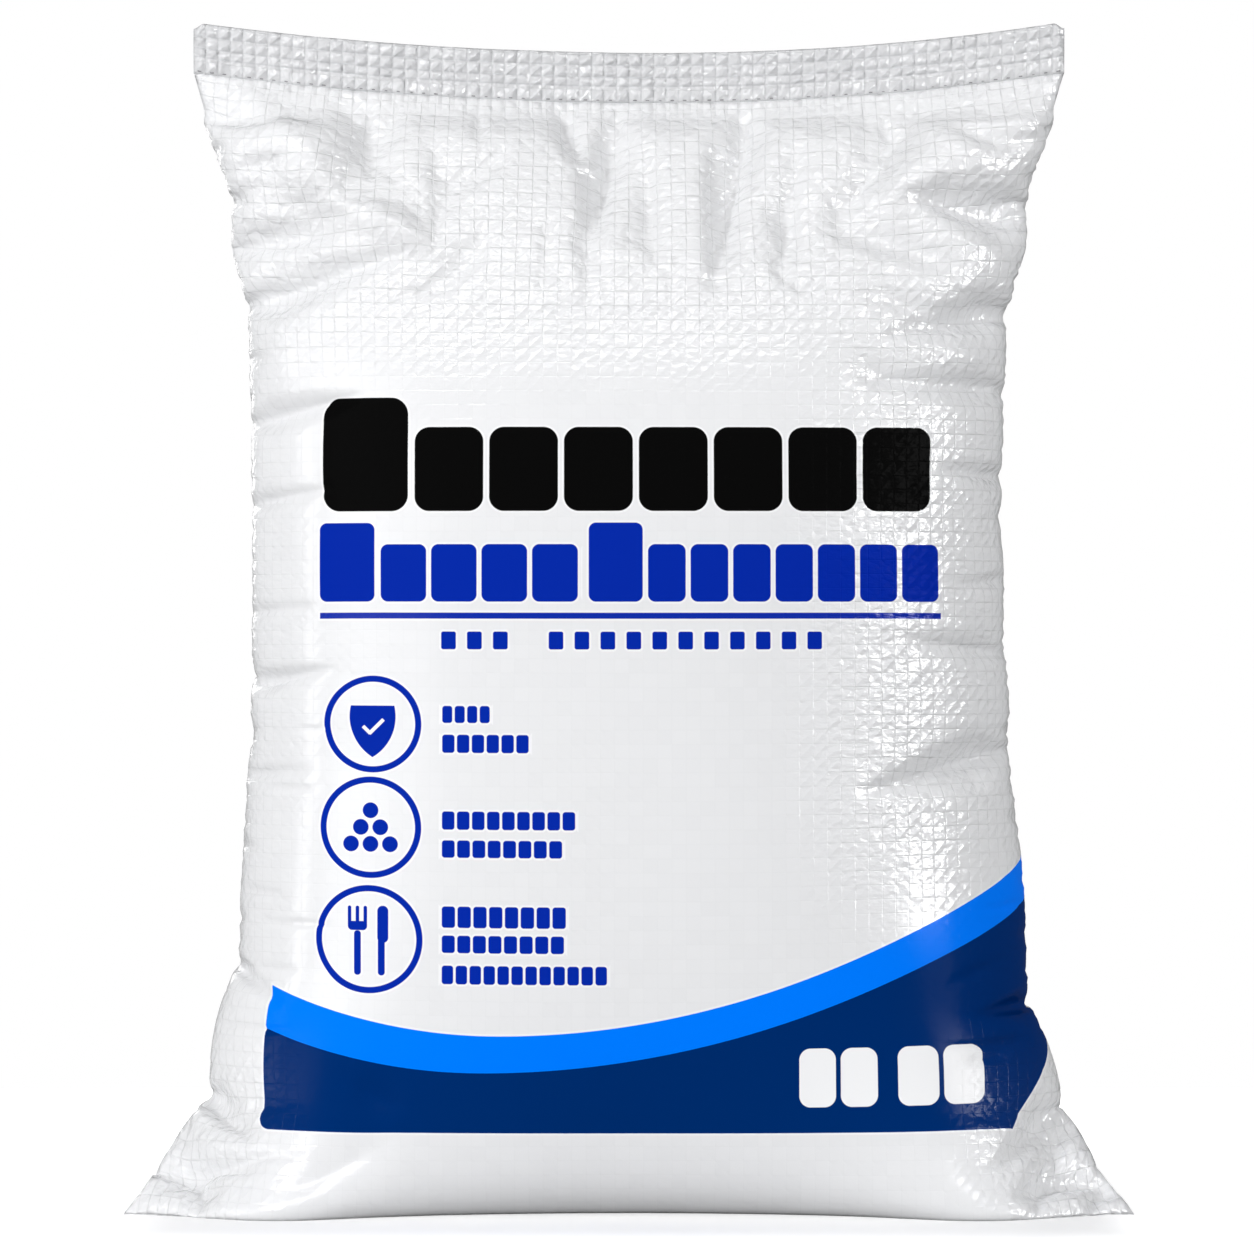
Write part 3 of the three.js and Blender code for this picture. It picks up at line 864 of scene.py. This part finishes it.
def nearest(r, p, x, z, shapes, part):
    """Distance to the nearest of the shapes that reach into this part."""
    found = []
    for kind, *numbers in shapes:
        left, right, low, high = extent(kind, *numbers)
        if right < part[0] or left > part[1] or high < part[2] or low > part[3]:
            continue
        if kind == "row":
            found.append(r.row(x, z, *numbers))
        elif kind == "shield":
            found.append(shield(r, p, z, *numbers))
        else:
            found.append(getattr(r, kind)(p, *numbers))
    return r.least(*found) if found else FAR


def swept(r, x, middle, base, right_bend, left_bend):
    """Height of a band's upper edge: base + bend (x - middle)^2, with its own bend on each side."""
    off = r.minus(x, middle)
    square = r.times(off, off)
    bend = r.fit(r.math("GREATER_THAN", off, 0.0), right_bend - left_bend, left_bend)
    return r.fit(square, bend, base)


def bands(r, p, x, z):
    """Distances to the bright band and to the navy one over it. Both are cut from one panel, whose left edge
    leans and whose lower right corner is cut off."""
    panel = r.box(p, 19.75, 160.0, 432.5, 198.0, 6.0)
    leftwards = r.minus(r.fit(z, 0.055, -200.5), x)
    cut = r.vector("DOT_PRODUCT", r.vector("SUBTRACT", p, (203.0, 61.0, 0)), (0.832, -0.554, 0), output=1)
    panel = r.most(r.most(panel, leftwards), cut)
    bright_top = swept(r, x, -73.2, 112.6, 0.00106, 0.00166)
    navy_top = swept(r, x, -82.8, 92.8, 0.000956, 0.00166)
    return [r.most(panel, r.minus(z, top)) for top in (bright_top, navy_top)]


# %% [markdown]
# ## The film, plain and printed
# The ink lies under a clear film, so the print has a thin white rim, hardly mirrors, and shows less of the
# relief than the bare film does. Under the hem the film is gathered into small ribs.

# %% The film's materials
BANDS_TOP = 260.0  # no band reaches higher
PRINT_ENDS = 262.0  # just round the side edges
RIB_FROM, RIB_TO = 615.0, 627.0  # heights between which the ribs set in
RIB_PITCH, RIB_HEIGHT = 6.971, 0.7


def woven(r):
    """Millimetres round from the middle of the front and up from the lower seam, looseness, relief, and colour with
    painted shade in the weave's grooves.
    """
    cloth = r.node("ShaderNodeUVMap", {}, uv_map="cloth")
    apart = r.tree.nodes.new("ShaderNodeSeparateXYZ")
    r.join(cloth, apart.inputs[0])
    s = r.times(apart.outputs["X"], 1000.0)
    h = r.times(apart.outputs["Y"], 1000.0)
    loose = r.node("ShaderNodeAttribute", {}, 2, attribute_name="loose")
    ribs = r.math("ABSOLUTE", r.math("SINE", r.times(s, np.pi / RIB_PITCH)))
    ribs = r.times(r.times(ribs, r.smooth(h, RIB_FROM, RIB_TO)), RIB_HEIGHT)
    height, shade_and_tone = add_weave(r, s, h, loose, ribs)
    return s, h, loose, height, r.blend(shade_and_tone, WHITE_FILM, PAINTED_SHADE)


def plain_film():
    """The film of the back, the foot and the top."""
    r = Recipe("plain_film")
    _, _, _, height, colour = woven(r)
    film_shader(r, colour, height, 0.4, 1.0)
    return r.material


def printed_film(name, part):
    """The film of one part of the front, with the shapes that reach into it."""
    r = Recipe(name)
    s, h, loose, height, colour = woven(r)
    # Seen from the front, the film turns away at the sides: x = s (1 - 6.6e-9 |s|^3).
    around = r.math("ABSOLUTE", s)
    x = r.times(s, r.fit(r.math("POWER", around, 3.0), -6.6e-9, 1.0))
    # Beyond the print's end x is moved far off every shape.
    x = r.fit(r.math("GREATER_THAN", around, PRINT_ENDS), 5000.0, x)
    p = r.pair(x, h)
    black, blue, white = (nearest(r, p, x, h, shapes, part) for shapes in (BLACK_SHAPES, BLUE_SHAPES, WHITE_SHAPES))
    bright, navy = bands(r, p, x, h) if part[2] < BANDS_TOP else (FAR, FAR)
    printed = r.least(black, blue, bright)
    colour = r.blend(r.inside(r.minus(printed, 1.1), 0.5), colour, WHITE_INK)
    for distance, ink_colour in ((blue, BLUE_INK), (black, BLACK_INK), (bright, BRIGHT_BLUE_INK),
                                 (navy, NAVY_INK), (white, WHITE_INK)):
        colour = r.blend(r.inside(distance), colour, ink_colour)
    ink = r.inside(printed, 1.0)
    inked = r.fit(r.times(loose, r.inside(bright)), 0.30, 0.008)
    gloss = r.fit(ink, r.minus(inked, 1.0), 1.0)
    film_shader(r, colour, height, 0.4, gloss, ink)
    print(name, "nodes", len(r.tree.nodes))
    return r.material


def hem_film():
    """The folded film: painted shade in the gaps between its cells, crinkled, and each cell tilted its own way."""
    r = Recipe("hem_film")
    spot = r.node("ShaderNodeTexCoord", {}, 3)
    apart = r.tree.nodes.new("ShaderNodeSeparateXYZ")
    r.join(spot, apart.inputs[0])
    x, z = apart.outputs["X"], apart.outputs["Z"]
    column = r.fit(x, 1 / HEM_CELL, HEM_CELLS / 2)
    turns = r.math("FRACT", column)
    shaded_gaps = r.math("POWER", r.math("ABSOLUTE", r.fit(turns, 2.0, -1.0)), 9.0)
    # Height over the seam, which rises towards the corners as the mesh does.
    lift = r.math("POWER", r.times(r.math("ABSOLUTE", x), 2 / HEM_WIDTH), CORNER_CURVE)
    over = r.minus(r.minus(z, SEAM_HEIGHT), r.times(lift, CORNER_RISE))
    for line in HEM_LINES[1:-1]:
        away = r.math("ABSOLUTE", r.minus(over, float(line)))
        shaded_gaps = r.most(shaded_gaps, r.smooth(away, 0.0, 0.0009, 1.0, 0.0))
    grain = r.noise(spot, 300.0, 3.0)
    crinkle = r.noise(spot, 110.0, 1.0)
    crinkle = r.math("ABSOLUTE", r.minus(crinkle, 0.5))
    # The tilts let some cells mirror a lamp.
    row = r.times(over, 1 / 0.0065)
    cell = r.pair(r.math("FLOOR", column), r.math("FLOOR", row))
    chance = r.node("ShaderNodeTexWhiteNoise", {"Vector": cell}, noise_dimensions="2D")
    roof = r.math("ABSOLUTE", r.minus(turns, r.math("FRACT", row)))
    roof = r.times(roof, r.fit(chance, -1.3, -0.2))
    height = r.total(r.times(grain, 0.5), r.times(crinkle, 3.0), roof)
    # Painted shade: the gaps and grooves between the hem's cells are darkened towards grey.
    colour = r.blend(r.times(shaded_gaps, 0.30), HEM_FILM, PAINTED_SHADE)
    film_shader(r, colour, height, 0.3, 1.0)
    return r.material


def thread():
    """Dull dark grey, for the row of dark dashes along the seam."""
    r = Recipe("thread")
    spot = r.node("ShaderNodeTexCoord", {}, 3)
    grain = r.noise(spot, 300.0, 3.0)
    film_shader(r, (0.30, 0.30, 0.31, 1), r.times(grain, 0.55), 0.6, 0.0)
    return r.material


# %% [markdown]
# ## Dressing the pieces
# The sack has the plain film first and then one film for each printed part, in the order of its faces' kinds.

# %% Put the materials on
mesh.materials.append(plain_film())
for name, part in PRINT_PARTS.items():
    mesh.materials.append(printed_film(name, part))
hem.data.materials.append(hem_film())
stitches.data.materials.append(thread())
print("materials", [material.name for material in mesh.materials])

# %% [markdown]
# ## The floor
# The sack stands on a pale table top that runs into the white behind it. The table glows, as painted light: weakly
# close to the sack, where its soft shadow stays, and strongly further off.

# %% The floor
FLOOR_SIDE, FLOOR_FRONT, FLOOR_BEHIND = 1.0, -0.26, 0.55
GLOW_NEAR, GLOW_FAR = 0.20, 0.80
floor = make_mesh("floor", np.array([
    (-FLOOR_SIDE, FLOOR_FRONT, 0), (FLOOR_SIDE, FLOOR_FRONT, 0),
    (FLOOR_SIDE, FLOOR_BEHIND, 0), (-FLOOR_SIDE, FLOOR_BEHIND, 0),
]), [(0, 1, 2, 3)])
r = Recipe("pale_floor")
apart = r.tree.nodes.new("ShaderNodeSeparateXYZ")
r.join(r.node("ShaderNodeTexCoord", {}, 3), apart.inputs[0])
# Painted light: how strongly the table glows for the eye, weak near the sack and strong away from it.
beside = r.smooth(r.math("ABSOLUTE", apart.outputs["X"]), 0.24, 0.32, GLOW_NEAR, GLOW_FAR)
behind = r.smooth(apart.outputs["Y"], 0.05, 0.22, GLOW_NEAR, GLOW_FAR)
before = r.smooth(apart.outputs["Y"], -0.24, -0.13, GLOW_FAR, GLOW_NEAR)
around = r.most(r.most(beside, behind), before)
looked_at = r.node("ShaderNodeLightPath", {}, 0)
r.join(r.times(around, looked_at), r.shader.inputs["Emission Strength"])
r.shader.inputs["Emission Color"].default_value = (1, 1, 1, 1)
# The sack gets less light back from the floor than the eye does, so that its foot stays shaded.
r.join(r.blend(looked_at, (0.35, 0.35, 0.35, 1), (0.88, 0.88, 0.88, 1)), r.shader.inputs["Base Color"])
r.shader.inputs["Roughness"].default_value = 0.9
floor.data.materials.append(r.material)
print("floor from", FLOOR_FRONT, "to", FLOOR_BEHIND)

# %% [markdown]
# ## Light
# White, glossy film shows its shape by two things: the shade on its folds and the glints in its clear coat.
# So some lamps light only the dull film, from the left and the right, and some only sparkle in the coat.

# %% The lamps
def lamp(name, spot, target, size, power):
    """A soft rectangular lamp at spot, turned towards target."""
    data = bpy.data.lights.new(name, "AREA")
    data.shape = "RECTANGLE"
    data.size, data.size_y = size
    data.energy = power
    light = bpy.data.objects.new(name, data)
    light.location = spot
    light.rotation_euler = (Vector(target) - Vector(spot)).to_track_quat("-Z", "Y").to_euler()
    bpy.context.scene.collection.objects.link(light)
    return light


LAMPS = (
    # Name, spot, target height, size, power, and whether it lights the dull film, the coat or both.
    ("key", (-1.80, -1.45, 0.85), 0.33, (0.8, 0.8), 35, "dull"),
    ("left_panel", (-1.70, -1.75, 0.80), 0.33, (1.3, 1.5), 7, "both"),
    ("left_strip", (-2.20, -0.85, 0.60), 0.33, (0.25, 1.1), 3, "both"),
    ("right", (1.60, -1.55, 0.85), 0.33, (0.8, 0.8), 25, "dull"),
    ("right_strip", (1.75, -1.25, 0.80), 0.33, (0.5, 1.1), 24, "coat"),
    ("left_high", (-0.85, -1.80, 1.70), 0.50, (0.6, 0.3), 11, "coat"),
    ("front_top", (0.30, -1.70, 1.90), 0.50, (1.4, 0.25), 9, "coat"),
    ("top", (0, -0.50, 2.30), 0.20, (1.6, 0.7), 3, "both"),
    ("behind", (0, 2.30, 1.00), 0.33, (1.0, 1.0), 28, "dull"),
    ("behind_strip", (-1.20, 1.90, 0.90), 0.33, (0.4, 1.1), 4, "coat"),
)
for name, spot, aim, size, power, lights in LAMPS:
    light = lamp(name, spot, (0, 0, aim), size, power)
    light.visible_glossy = lights != "dull"
    light.visible_diffuse = lights != "coat"
print("lamps", len(LAMPS))

# %% [markdown]
# ## The room
# Around the sack is a grey room, a little brighter towards the front. Only the eye sees it as pure white,
# which is how a product picture is cut out.

# %% The room
ROOM_DIM, ROOM_BRIGHT = 0.20, 0.27
world = bpy.data.worlds.new("studio")
world.use_nodes = True
bpy.context.scene.world = world
nodes, wires = world.node_tree.nodes, world.node_tree.links
grey = nodes["Background"]
way = nodes.new("ShaderNodeTexCoord")
ahead = nodes.new("ShaderNodeVectorMath")
ahead.operation = "DOT_PRODUCT"
ahead.inputs[1].default_value = (0, -1, 0)
wires.new(way.outputs["Generated"], ahead.inputs[0])
dim = nodes.new("ShaderNodeMapRange")
dim.interpolation_type = "SMOOTHSTEP"
for socket, value in (("From Min", 0.0), ("From Max", 0.75), ("To Min", ROOM_DIM), ("To Max", ROOM_BRIGHT)):
    dim.inputs[socket].default_value = value
wires.new(ahead.outputs["Value"], dim.inputs["Value"])
wires.new(dim.outputs["Result"], grey.inputs["Color"])
white = nodes.new("ShaderNodeBackground")
white.inputs["Color"].default_value = (1, 1, 1, 1)
either = nodes.new("ShaderNodeMixShader")
wires.new(nodes.new("ShaderNodeLightPath").outputs["Is Camera Ray"], either.inputs["Fac"])
wires.new(grey.outputs["Background"], either.inputs[1])
wires.new(white.outputs["Background"], either.inputs[2])
wires.new(either.outputs["Shader"], nodes["World Output"].inputs["Surface"])
bpy.context.scene.view_settings.view_transform = "Standard"

# %% [markdown]
# ## The camera
# It stands level and far off, as for a product picture. One picture point is 0.56 mm at the sack.

# %% The camera
CAMERA_AWAY, CAMERA_HEIGHT = 2.4, 0.318
PHOTO_SIDE = 1254
PHOTO_METRES_PER_PIXEL = 0.00056
camera_data = bpy.data.cameras.new("camera")
camera_data.sensor_width = 36
camera_data.lens = 36 * CAMERA_AWAY / (PHOTO_METRES_PER_PIXEL * PHOTO_SIDE)
camera = bpy.data.objects.new("camera", camera_data)
camera.location = (-0.001, -CAMERA_AWAY, CAMERA_HEIGHT)
camera.rotation_euler = (np.pi / 2, 0, 0)
bpy.context.scene.collection.objects.link(camera)
bpy.context.scene.camera = camera
print("lens", camera_data.lens)
